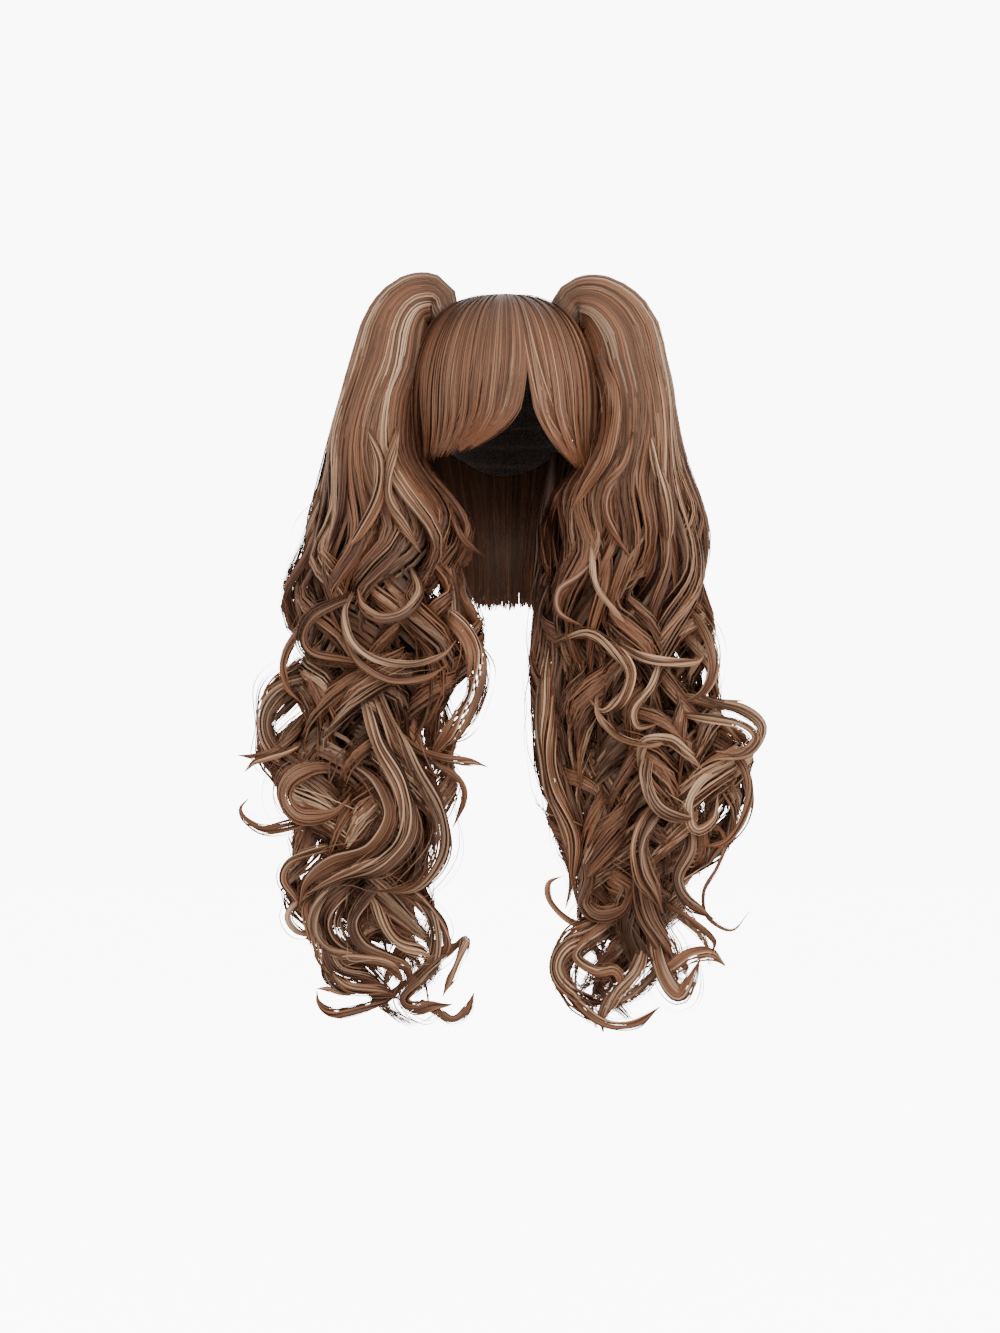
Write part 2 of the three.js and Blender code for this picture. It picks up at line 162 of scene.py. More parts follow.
# Hair ties: rings of elastic cord, wound round the root of each tail and dyed to the hair. The tails are
# drawn through them and hide them.
turn_pitch = 2900.0
elastic_shadow = (0.012, 0.006, 0.004, 1)
elastic_thread = (0.075, 0.036, 0.022, 1)
wound, shader, sums = new_material("wound_elastic")
shader.inputs["Roughness"].default_value = 0.7
shader.inputs["Sheen Weight"].default_value = 0.4
place = sums.node("ShaderNodeTexCoord", out="Object")
turns = sums.maths("SINE", sums.part(place, "Z") * turn_pitch) * 0.5 + 0.5
fuzz = sums.noise(place, 900.0, Detail=3.0)
into(
    shader,
    Base_Color=sums.blend((turns * 0.6 + fuzz * 0.4).held(), elastic_shadow, elastic_thread),
    Normal=(turns + fuzz * 0.4).relief(0.7, 0.0007),
)
for side in ("left", "right"):
    finish_node(f"tie_{side}", wound)


# Fringe: straight satin fibre sewn in rows from the crown, parted right of the middle. The large side is
# swept to -X and the small side to +X, both cut to pointed tips with a coppery cast.
head_width = 0.150
head_depth = 0.190
crown_height = 0.105
crown_fullness = 0.86
neck_height = 0.150
neck_cling = 0.36
cap_wall = 0.002
clearance = 0.0003
over_cap = cap_wall + clearance
hair_thickness = 0.007
lowest_layer = 0.0012
quarter_run = math.pi / 4 * (head_width / 2 + crown_height)
chance = np.random.default_rng(11)

deep_brown = (0.05, 0.0205, 0.0132, 1)
chestnut = (0.225, 0.089, 0.042, 1)
ash_blond = (0.58, 0.375, 0.235, 1)
copper = (0.31, 0.092, 0.03, 1)
# A dark brown that stands in for shade: strands are coloured towards it where they lie inside the hair, under
# other strands or in a tail's shadow.
painted_shade = (0.021, 0.0095, 0.007, 1)


def ease(share):
    share = np.clip(share, 0, 1)
    return share * share * (3 - 2 * share)


def mix(a, b, share):
    return a + (b - a) * share


def unit(vectors):
    return vectors / np.maximum(np.linalg.norm(vectors, axis=-1, keepdims=True), 1e-12)


def run_to(drop):
    """The way down the hair from the crown to a drop below it."""
    height_left = np.clip(1 - drop / crown_height, 0, 1) ** (1 / crown_fullness)
    over = quarter_run * np.arccos(height_left) / (math.pi / 2)
    return np.where(drop >= crown_height, quarter_run + drop - crown_height, over)


def on_head(turn, run, lift, cling=0.0):
    """Points on the form that the cap stretches over, grown by lift. A turn is in degrees from the front
    towards +X, and cling is how far the form draws in below."""
    tilt = np.minimum(run / quarter_run, 1) * math.pi / 2
    below = np.maximum(run - quarter_run, 0)
    girth = np.sin(tilt) ** crown_fullness * (1 - cling * ease(below / neck_height))
    angle = np.radians(turn)
    up = np.maximum(np.cos(tilt), 0) ** crown_fullness
    return np.stack(
        [
            (head_width / 2 + lift) * girth * np.sin(angle),
            -(head_depth / 2 + lift) * girth * np.cos(angle),
            (crown_height + lift) * up - crown_height - below,
        ],
        axis=-1,
    )


# How fast the tone changes for each metre across a strand and along it.
grain_across = 1000
grain_along = 9


def strands(name, lines, facing, width, dye_and_shade, beside, node):
    """One mesh of thin flat hair strands. lines and facing are (strand, step, 3), width is (strand, step),
    the
    dye and shade shares are (strand, step, 3): blond, copper and painted shade, which stands in for the shade
    inside the hair, and beside tells which strands lie side by side and so share their tone."""
    count, steps = width.shape
    along = unit(np.gradient(lines, axis=1))
    out = unit(facing - along * np.sum(facing * along, axis=-1, keepdims=True))
    across = np.cross(along, out)
    half = width[..., None] / 2
    rows = np.stack([lines - across * half, lines + across * half], axis=2)
    corner = np.arange(count * steps * 2).reshape(count, steps, 2)
    quads = np.stack(
        [corner[:, :-1, 0], corner[:, :-1, 1], corner[:, 1:, 1], corner[:, 1:, 0]], axis=-1
    ).reshape(-1, 4)
    mesh = bpy.data.meshes.new(name)
    mesh.vertices.add(corner.size)
    mesh.vertices.foreach_set("co", rows.astype(np.float32).ravel())
    mesh.loops.add(quads.size)
    mesh.loops.foreach_set("vertex_index", quads.astype(np.int32).ravel())
    mesh.polygons.add(len(quads))
    mesh.polygons.foreach_set("loop_start", np.arange(0, quads.size, 4, dtype=np.int32))
    mesh.polygons.foreach_set("use_smooth", np.ones(len(quads), dtype=bool))
    mesh.update(calc_edges=True)
    lengths = np.cumsum(np.linalg.norm(np.diff(lines, axis=1), axis=-1), axis=1)
    gone = np.concatenate([np.zeros((count, 1)), lengths], axis=1)
    fibre = np.empty((count, steps, 2, 3), dtype=np.float32)
    fibre[..., 0] = beside[..., None] + width[..., None] * grain_across * np.array([-0.5, 0.5])
    fibre[..., 1] = gone[..., None] * grain_along
    fibre[..., 2] = chance.uniform(0, 1.1, (count, 1, 1))
    mesh.attributes.new("fibre", "FLOAT_VECTOR", "POINT").data.foreach_set("vector", fibre.ravel())
    spread = np.repeat(dye_and_shade[:, :, None, :], 2, axis=2).astype(np.float32)
    mesh.attributes.new("dye_and_shade", "FLOAT_VECTOR", "POINT").data.foreach_set("vector", spread.ravel())
    mesh.materials.append(fibre_material)
    piece = bpy.data.objects.new(name, mesh)
    bpy.context.collection.objects.link(piece)
    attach(piece, "root")
    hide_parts(node)


fibre_material, shader, sums = new_material("hair_fibre")
shader.inputs["Specular IOR Level"].default_value = 0.45
shader.inputs["Specular Tint"].default_value = (1.0, 0.8, 0.62, 1)
fibre = sums.node("ShaderNodeAttribute", {"attribute_name": "fibre"}, out="Vector")
dye_and_shade = sums.node("ShaderNodeAttribute", {"attribute_name": "dye_and_shade"}, out="Vector")
fine = sums.noise(fibre, 1.9, Detail=2.0, Roughness=0.6)
broad = sums.noise(fibre, 0.45, Detail=1.0)
thread = ((fine - 0.5) * 2.4 + (broad - 0.5) * 3.8 + 0.46).held()
colour = sums.blend(thread, deep_brown, chestnut)
blond = (sums.part(dye_and_shade, "X") * (0.45 + thread * 0.75)).held()
colour = sums.blend(blond, colour, ash_blond)
colour = sums.blend((sums.part(dye_and_shade, "Y") * (0.5 + fine * 0.8)).held(), colour, copper)
# Painted shade: the third share of the attribute darkens the fibre towards the shade colour.
colour = sums.blend(sums.part(dye_and_shade, "Z").held(), colour, painted_shade)
into(
    shader,
    Base_Color=colour,
    Roughness=(0.4 + fine * 0.16),
    Normal=(fine + broad * 0.5).relief(0.35, 0.0006),
)


# What a part of the bob has where its own sheet doesn't say: how uneven its ends are, the width left at a
# tip, the sway of its strands in degrees, the fullness over the ears and the share of blond strands.
usual = dict(ragged=0.004, point=0.15, sway=0.5, full=0, blond=0.14)


def hang(sheet, count, steps, cling, seed):
    """Strands of one part of the bob. Roots and tips are turns from the front in degrees, at one edge of the
    part and at the other, and ends are shares of its drop there."""
    chance = np.random.default_rng(seed)
    down = np.linspace(0, 1, steps)[None, :]
    at = np.sort(chance.uniform(0.004, 0.996, (count, 1)), axis=0)
    layer = chance.uniform(0, 1, (count, 1)) ** 0.7
    bunches = np.sort(np.concatenate([[0.01, 0.99], chance.uniform(0.03, 0.97, sheet["bunches"])]))
    nearest = bunches[np.abs(at - bunches[None, :]).argmin(axis=1)][:, None]
    notch = np.minimum(np.abs(at - nearest) * 1.6 * len(bunches), 1)
    uneven = chance.gamma(1.4, sheet["ragged"], (count, 1))
    short = sheet["notch"] * notch + uneven + 0.010 * (1 - layer)
    drop = sheet["drop"] * mix(*sheet["ends"], at) - short
    run = mix(0.001, run_to(drop), down)
    side = mix(at, nearest, sheet["gather"] * ease((down - 0.5) / 0.5))
    turn = mix(mix(*sheet["roots"], side), mix(*sheet["tips"], side), down ** sheet["sweep"])
    turn = turn + chance.normal(0, 0.5, (count, 1)) * down
    sway = np.sin(down * chance.uniform(2, 6, (count, 1)) + chance.uniform(0, 6, (count, 1)))
    turn = turn + sway * sheet["sway"] * down
    rise = hair_thickness * mix(1, 0.5, ease((down - 0.6) / 0.4))
    settled = ease(run / (crown_height / 3))
    stand = sheet["flare"] * hair_thickness * ease(down) + 0.0016 * (1 - notch) * settled
    full = sheet["full"] * np.abs(np.sin(np.radians(turn))) ** 3 * ease(down / 0.4)
    lift = over_cap + lowest_layer + (rise + full) * (0.12 + 0.88 * layer) + stand
    lines = on_head(turn, run, lift, cling)
    facing = lines - on_head(turn, run, lift - 0.01, cling)
    tapered = mix(1, sheet["point"], ease((down - 0.72) / 0.28))
    width = sheet["width"] * tapered * mix(0.35, 1, ease(down / 0.12))
    width = width * chance.uniform(0.75, 1.25, (count, 1))
    streaked = chance.uniform(0, 1, (count, 1)) < sheet["blond"]
    blond = np.where(streaked, chance.uniform(0.15, 0.62, (count, 1)), 0.04)
    blond = blond * mix(0.5, 1, ease(down / 0.3))
    tipped = 0.8 * ease((down - 0.75) / 0.25) * mix(*sheet["tipped"], at)
    # Painted shade: the lower layers are darker, as if under the hair above them, and each part's dark share
    # lays shade over its lower part and dims its blond streaks. The bob also darkens towards its roots.
    at_roots = 0.65 * (1 - ease((down - 0.12) / 0.5))
    dark = 0.5 * (1 - layer) + at_roots + sheet["dark"] * ease((down - 0.15) / 0.35)
    shares = (blond * (1 - sheet["dark"]), tipped + 0.12, np.clip(dark, 0, 1))
    return lines, facing, width, np.stack(np.broadcast_arrays(*shares), axis=-1), 0.4 * count * at


# In each part of the bob, dark is the share of painted shade laid over its lower part.
fringe_drop = 0.148
combed = dict(usual, drop=fringe_drop, flare=0.8, full=0.008, width=0.00115)
fringe_left = dict(
    combed, roots=(-68, 15.5), tips=(-62, -16), ends=(1.1, 0.98), sweep=8,
    bunches=26, gather=0.6, notch=0.009, tipped=(0.1, 0.6), dark=0.18,
)
fringe_right = dict(
    combed, roots=(12.5, 68), tips=(47, 61), ends=(1.1, 1.12), sweep=6,
    bunches=14, gather=0.5, notch=0.008, tipped=(0.4, 0.2), dark=0.0, blond=0.26,
)
for name, sheet, count, seed in (
    ("fringe_left", fringe_left, 1350, 21),
    ("fringe_right", fringe_right, 940, 22),
):
    strands(f"{name}_strands", *hang(sheet, count, steps=31, cling=0.0, seed=seed), name)


# Side hair: the bob's hair over the ears, wefts sewn along the cap's edge and drawn in towards their ends.
# The +X side is swept forward under the tail, and the tail's shade over it is painted into its colour.
side_drop = 0.246
over_ears = dict(
    usual, drop=side_drop, flare=0, full=0.012, width=0.0017, bunches=15, gather=0.35, notch=0.012, sway=1.5
)
side_hair_left = dict(
    over_ears, roots=(-114, -68), tips=(-112, -40), ends=(1, 1), sweep=6, tipped=(0.2, 0.4), dark=0.3
)
side_hair_right = dict(
    over_ears, roots=(68, 114), tips=(30, 112), ends=(1.28, 1.24), sweep=4, tipped=(0.1, 0.1), dark=0.68
)
for name, sheet, seed in (("side_hair_left", side_hair_left, 31), ("side_hair_right", side_hair_right, 32)):
    strands(f"{name}_strands", *hang(sheet, count=520, steps=30, cling=neck_cling, seed=seed), name)


# Back hair: the rest of the bob, straight wefts sewn to the cap from the crown down and cut level below the
# nape.
back_drop = 0.305
back = dict(
    usual, roots=(114, 246), tips=(115, 245), ends=(0.96, 0.96), sweep=4, drop=back_drop, flare=0,
    width=0.0021, point=0.45, bunches=60, gather=0.1, notch=0.004, ragged=0.0045, sway=2.6,
    tipped=(0.1, 0.1), dark=0.2,
)
strands("back_hair_strands", *hang(back, count=1000, steps=30, cling=neck_cling, seed=41), "back_hair")


# Tails: long curled hair drawn through each tie. It rises, turns over outwards and falls to the lap, smooth
# for the first third and then parting into ribbon curls with pointed ends.
tie_drop = 0.021
tie_turn = 86
tie_lean = math.radians(30)
tail_drop = 0.692
tail_reach = 0.072
tail_width = 0.184
tail_depth = 0.100
tail_forward = 0.048
root_rise = 0.010
tied_radius = 0.0192
half_lock = 0.015
tie_axis = np.array([math.sin(tie_lean), 0, math.cos(tie_lean)])
tie_seat = on_head(np.array(tie_turn), run_to(np.array(tie_drop)), over_cap + hair_thickness)
tail_root = tie_seat + tie_axis * root_rise
front_to_back = np.array([0.0, 1.0, 0.0])

# How far down each section of a tail is, how far out past the tie, its spread across and from front to back,
# and how far forward it lies, all as shares.
falls = {
    "right": (
        (0.0, 0.0, 0.15, 0.28, 0.0), (-0.012, 0.12, 0.25, 0.42, 0.0), (-0.004, 0.42, 0.33, 0.58, 0.05),
        (0.028, 0.66, 0.38, 0.64, 0.15), (0.078, 0.75, 0.39, 0.68, 0.28), (0.126, 0.85, 0.41, 0.72, 0.42),
        (0.195, 0.9, 0.5, 0.8, 0.62), (0.264, 0.77, 0.72, 0.88, 0.8), (0.333, 0.7, 0.87, 0.95, 0.95),
        (0.402, 0.73, 0.95, 1.0, 1.0), (0.47, 0.76, 0.97, 1.0, 1.0), (0.538, 0.8, 1.01, 1.0, 1.0),
        (0.607, 1.08, 1.16, 1.0, 1.0), (0.676, 1.04, 1.08, 0.98, 1.0), (0.744, 0.95, 0.86, 0.92, 1.0),
        (0.79, 0.76, 0.72, 0.88, 0.95), (0.84, 0.8, 0.82, 0.82, 0.9), (0.895, 0.88, 0.9, 0.76, 0.9),
        (0.945, 0.82, 0.84, 0.66, 0.9), (1.0, 0.66, 0.6, 0.5, 0.9),
    ),
    "left": (
        (0.0, 0.0, 0.15, 0.28, 0.0), (-0.015, 0.08, 0.26, 0.42, 0.0), (-0.006, 0.36, 0.32, 0.58, 0.05),
        (0.028, 0.57, 0.37, 0.64, 0.15), (0.078, 0.68, 0.39, 0.68, 0.28), (0.126, 0.8, 0.38, 0.72, 0.42),
        (0.195, 0.84, 0.48, 0.8, 0.62), (0.264, 0.77, 0.7, 0.88, 0.8), (0.333, 0.66, 0.86, 0.95, 0.95),
        (0.402, 0.8, 0.95, 1.0, 1.0), (0.47, 0.7, 1.0, 1.0, 1.0), (0.538, 0.9, 1.08, 1.0, 1.0),
        (0.607, 1.1, 1.02, 1.0, 1.0), (0.676, 0.94, 1.0, 0.98, 1.0), (0.744, 0.84, 0.86, 0.92, 1.0),
        (0.79, 1.04, 0.82, 0.88, 0.95), (0.84, 1.0, 0.84, 0.82, 0.9), (0.885, 0.7, 0.88, 0.76, 0.9),
        (0.935, 0.6, 0.8, 0.64, 0.9), (0.985, 0.5, 0.56, 0.5, 0.9),
    ),
}


def smooth_line(spots, count=2400):
    """A curve through the spots, one row for each of `count` places along it."""
    spots = np.asarray(spots, dtype=float)
    line = np.vstack([2 * spots[0] - spots[1], spots, 2 * spots[-1] - spots[-2]])
    place = np.linspace(0, len(spots) - 1, count)
    k = np.minimum(place.astype(int), len(spots) - 2)
    f = (place - k)[:, None]
    a, b, c, d = line[k], line[k + 1], line[k + 2], line[k + 3]
    return 0.5 * (2 * b + (c - a) * f + (2 * a - 5 * b + 4 * c - d) * f**2 + (3 * b - a - 3 * c + d) * f**3)


def fall_of(sections):
    """The fall of a tail on the +X side: its middle, direction and half spreads at any share of it."""
    down, out, wide, deep, forward = np.array(sections).T
    path = tail_root + np.stack([out * tail_reach, -forward * tail_forward, -down * tail_drop], axis=1)
    line = smooth_line(np.column_stack([path, wide * tail_width / 2, deep * tail_depth / 2]))
    gone = np.concatenate([[0], np.cumsum(np.linalg.norm(np.diff(line[:, :3], axis=0), axis=1))])
    along = unit(np.gradient(line[:, :3], axis=0))
    share_of = gone / gone[-1]

    def at(share):
        pick = lambda column: np.interp(share, share_of, column)
        centre = np.stack([pick(line[:, i]) for i in range(3)], axis=-1)
        way = unit(np.stack([pick(along[:, i]) for i in range(3)], axis=-1))
        back = np.minimum(share, 0)[..., None] * gone[-1]
        outward = np.stack([-way[..., 2], 0 * way[..., 0], way[..., 0]], axis=-1)
        outward = unit(mix(unit(outward), np.array([1.0, 0, 0]), ease((share - 0.06) / 0.14)[..., None]))
        return centre + back * tie_axis, way, outward, pick(line[:, 3]), pick(line[:, 4])

    return at


# Shares of the fall: where strands start inside the tie, where the crest is over, where the smooth hair
# begins to open into curls, and where strands begin to gather into locks.
inside_tie = -0.014
past_crest = 0.075
opens = 0.2
gathers = 0.12


def lock_lines(fall, lock, count, steps, chance):
    """Strands of one lock of a tail. They fan out evenly over the tail's crest, then gather into the lock, a
    flat ribbon that winds round its lane as if it had been rolled on a rod."""
    end = lock["end"] - chance.gamma(1.3, 0.014, (count, 1)).clip(0, 0.1)
    step = np.linspace(0, 1, steps)[None, :]
    crest = np.interp(step, (0, 0.03, 0.2, 0.26), (inside_tie, -0.004, 0.04, past_crest))
    share = np.where(step < 0.26, crest, mix(past_crest, end, (step - 0.26) / 0.74))
    centre, way, outward, wide, deep = fall(share)
    opened = ease((share - opens) / 0.42)
    hand = lock["hand"]
    swing = lock["swing"] * half_lock * mix(0.35 * ease(share / 0.1), 1, opened)
    swing = swing * (1 + 0.15 * ease((share - end + 0.12) / 0.12))
    late = chance.normal(0, 0.03, (count, 1)) * ease((share - 0.25) / 0.5)
    phase = mix(lock["wave"] + 0.14 * lock["lane"], lock["phase"], opened)
    turn = 2 * math.pi * (mix(5.2, lock["turns"], opened) * np.maximum(share, 0) ** 1.2 + phase + late)
    room = lambda half: np.maximum(half - swing - 0.008 * opened, half / 4)
    lane = lock["lane"] * mix(1.15, 1, opened)
    laid = outward * lock["lane"] + front_to_back * lock["layer"]
    wound = outward * np.cos(turn)[..., None] + front_to_back * (hand * np.sin(turn))[..., None]
    wound = unit(mix(unit(laid), wound, opened[..., None]))
    middle = (
        centre
        + outward * (lane * room(wide) + swing * np.cos(turn))[..., None]
        + front_to_back * (lock["layer"] * room(deep) + 0.6 * hand * swing * np.sin(turn))[..., None]
        + way * (1.5 * lock["roll"] * swing * opened * hand * np.sin(turn))[..., None]
    )
    course = unit(np.gradient(middle, axis=1))
    wound = unit(wound - course * np.sum(wound * course, axis=-1, keepdims=True))
    flat_way = np.cross(course, wound)
    spin = chance.uniform(0, 2 * math.pi, (count, 1))
    radius = np.sqrt(chance.uniform(0.06, 1, (count, 1)))
    loose = chance.uniform(0, 1, (count, 1))
    stray = 1 + (0.35 * (loose > 0.88) + 0.9 * (loose > 0.97)) * ease((share - 0.2) / 0.5)
    lay = spin + 0.5 * np.sin(9 * share + 3 * spin)
    tip = ease((end - share) / 0.15)
    size = half_lock * lock["girth"] * mix(0.1, 1, tip) * mix(1.1, 1, ease(share / 0.5)) * stray
    flat = mix(0.6, 0.34, opened)
    local = (
        flat_way * (size * radius * np.cos(lay))[..., None]
        + wound * (size * flat * radius * np.sin(lay))[..., None]
    )
    beside = 1 - 4 * np.abs((spin / (2 * math.pi) - lock["phase"] * 9 / (2 * math.pi)) % 1 - 0.5)
    angle = math.atan2(lock["layer"], lock["lane"]) + beside * lock["fan"] * hand
    reach = mix(0.45, 1.0, np.sqrt(chance.uniform(0, 1, (count, 1))))
    covers = chance.uniform(0, 1, (count, 1)) < 0.4
    outside = chance.uniform(0.97, 1.05, (count, 1))
    freed = ease(share / 0.02)
    reach = np.where(covers, mix(tied_radius / wide, outside, freed), reach)
    over = centre + (
        outward * (wide * reach * np.cos(angle) + 0.4 * swing * np.cos(turn))[..., None]
        + front_to_back * (mix(wide, deep, freed) * reach * np.sin(angle))[..., None]
    )
    gather = ease((share - gathers) / 0.36)[..., None]
    lines = over * (1 - gather) + (middle + local) * gather
    turned = np.sin(angle) + 0.22 * np.sign(np.sin(angle))
    fanned = outward * np.cos(angle)[..., None] + front_to_back * turned[..., None]
    curled = flat_way * (0.4 * np.cos(lay))[..., None] + wound * np.sin(lay)[..., None]
    facing = unit(fanned * (1 - gather) + curled * gather)
    width = lock["width"] * mix(0.2, 1, ease((end - share) / 0.1)) * mix(0.45, 1, ease(share / 0.08))
    width = width * (1.5 if lock["layer"] > 0 else 1)
    width = width * chance.uniform(0.65, 1.35, (count, 1)) * np.where(loose > 0.97, 0.5, 1)
    in_streak = np.cos(spin - lock["phase"] * 9) > 1 - 2 * lock["blond"]
    streak = in_streak & (chance.uniform(0, 1, (count, 1)) < 0.8)
    blond = np.where(streak, chance.uniform(0.55, 1, (count, 1)), 0.04)
    drift = chance.normal(0, 0.06, (count, 1))
    come = 0.5 + 0.5 * np.sin(2 * math.pi * (share * 1.4 + 0.12 + 0.1 * lock["phase"] + drift))
    blond = blond * mix(0.3, 1, come)
    # Painted shade: strands deep inside the tail and strands just out of the tie are darkened, and each lock
    # adds its own dark share.
    inner = mix(np.maximum(1 - reach, 0), 0.8 * (1 - radius), gather[..., 0])
    dark = 0.5 * inner + 0.5 * (1 - ease((share + 0.01) / 0.05)) + lock["dark"]
    tipped = 0.14 * ease((share - 0.5) / 0.4) * chance.uniform(0, 1, (count, 1)) + 0.04
    dye_and_shade = np.stack(np.broadcast_arrays(blond, tipped, np.clip(dark, 0, 0.97)), axis=-1)
    return lines, facing, width, dye_and_shade, chance.uniform(0, 900) + 2.2 * spin


# A tail's main locks. Lane and layer are its place across and from front to back, as shares of the spread
# there, end is a share of the fall, swing and girth are in half locks, and phase is a share of a turn.
lock_columns = ("lane", "layer", "end", "swing", "turns", "phase", "roll", "girth", "blond")
locks = {
    "right": (
        (-1.05, 0.2, 0.95, 1.0, 4.6, 0.3, 0.35, 1.0, 0.03),
        (-0.62, -0.85, 0.95, 1.3, 5.2, 0.6, 0.4, 1.0, 0.06),
        (0.05, -0.95, 0.97, 1.5, 5.2, 0.55, 0.45, 1.0, 0.2),
        (0.72, -0.65, 0.92, 1.6, 4.8, 0.2, 0.45, 1.0, 0.4),
        (0.94, 0.1, 0.9, 1.3, 5.0, 0.65, 0.35, 1.0, 0.35),
        (0.5, 0.85, 0.93, 1.4, 5.2, 0.35, 0.4, 1.1, 0.05),
        (-0.3, 0.9, 0.99, 1.3, 5.0, 0.9, 0.35, 1.1, 0.03),
    ),
    "left": (
        (-1.05, 0.2, 0.9, 1.1, 4.6, 0.75, 0.35, 1.0, 0.03),
        (-0.62, -0.85, 0.96, 1.4, 5.0, 0.2, 0.4, 1.0, 0.08),
        (0.05, -0.95, 0.98, 1.6, 5.4, 0.1, 0.45, 1.0, 0.15),
        (0.72, -0.65, 0.95, 1.6, 5.0, 0.75, 0.45, 1.0, 0.45),
        (1.0, 0.1, 0.92, 0.9, 4.8, 0.4, 0.1, 1.0, 0.4),
        (0.5, 0.85, 0.93, 1.4, 5.0, 0.5, 0.4, 1.1, 0.05),
        (-0.3, 0.9, 0.98, 1.3, 5.2, 0.05, 0.35, 1.1, 0.03),
    ),
}


def between(chance, count, reaches, girths):
    """Smaller locks that fill the tail between its main ones, all the way round."""
    made = []
    for k in range(count):
        angle = 2 * math.pi * (k + chance.uniform(0.2, 0.8)) / count
        reach = chance.uniform(*reaches)
        made.append(
            dict(
                lane=reach * math.cos(angle), layer=reach * math.sin(angle), end=chance.uniform(0.72, 0.97),
                swing=chance.uniform(0.8, 1.8), turns=chance.uniform(4.4, 6.2), phase=chance.uniform(0, 1),
                roll=chance.uniform(0.3, 0.75), girth=chance.uniform(*girths),
                blond=chance.uniform(0, 0.6) ** 2 + 0.4 * (math.cos(angle + 0.36) > 0.92),
                hand=chance.choice([-1, 1]),
            )
        )
    return made


# Where on its turn the smooth wave of each tail starts.
waves = {"left": 0.1, "right": 0.45}
lock_steps = 56
for side, seed in (("left", 51), ("right", 52)):
    chance = np.random.default_rng(seed)
    fall = fall_of(falls[side])
    mirror = np.array([-1.0 if side == "left" else 1.0, 1, 1])
    main = [
        dict(zip(lock_columns, row), fan=0.5, width=0.0015, dark=0.0, hand=1 - 2 * (k % 2))
        for k, row in enumerate(locks[side])
    ]
    outer = between(chance, 26, reaches=(0.7, 1.0), girths=(0.35, 0.75))
    # The inner locks fill the middle of the tail and carry a share of painted shade, standing in for the dark
    # depths between the locks.
    inner = between(chance, 9, reaches=(0.2, 0.6), girths=(1.0, 1.3))
    bundles = (
        (main, 96, {}),
        (outer, 50, dict(fan=0.3, width=0.00145, dark=0.0)),
        (inner, 44, dict(fan=0.6, width=0.0036, dark=0.45)),
    )
    groups = {"front": [], "back": []}
    for bundle, count, more in bundles:
        for lock in bundle:
            made = lock_lines(fall, dict(lock, wave=waves[side], **more), count, lock_steps, chance)
            groups["front" if lock["layer"] < 0 else "back"].append(made)
    for group, made in groups.items():
        lines, facing, *rest = (np.concatenate(arrays) for arrays in zip(*made))
        strands(f"pigtail_{side}_{group}_locks", lines * mirror, facing * mirror, *rest, f"pigtail_{side}")


# Loose curls: the thin ribbons that come out of the tails' curled part, each one a lock of its own whose end
# flicks out to a point, and a few smooth waves over their upper part. They start inside the tails, and their
# lines are laid out on the pixels of a picture of 1000 by 1333.
pixel = 0.00095
picture_middle = (500, 666.5)
curl_strand = 0.0015

# In millimetres, how far behind its own depth a curl starts, and how far its tip falls back again.
starts_behind = 26
tip_back = 10


def from_picture(spots, depth):
    """Picture places at a depth (the distance forward of the wig's middle, in metres) as points."""
    spots = np.asarray(spots, dtype=float)
    nearer = (away - depth) / away
    x = middle.x + (spots[:, 0] - picture_middle[0]) * pixel * nearer
    z = middle.z - (spots[:, 1] - picture_middle[1]) * pixel * nearer
    return np.stack([x, -depth * np.ones(len(spots)), z], axis=1)


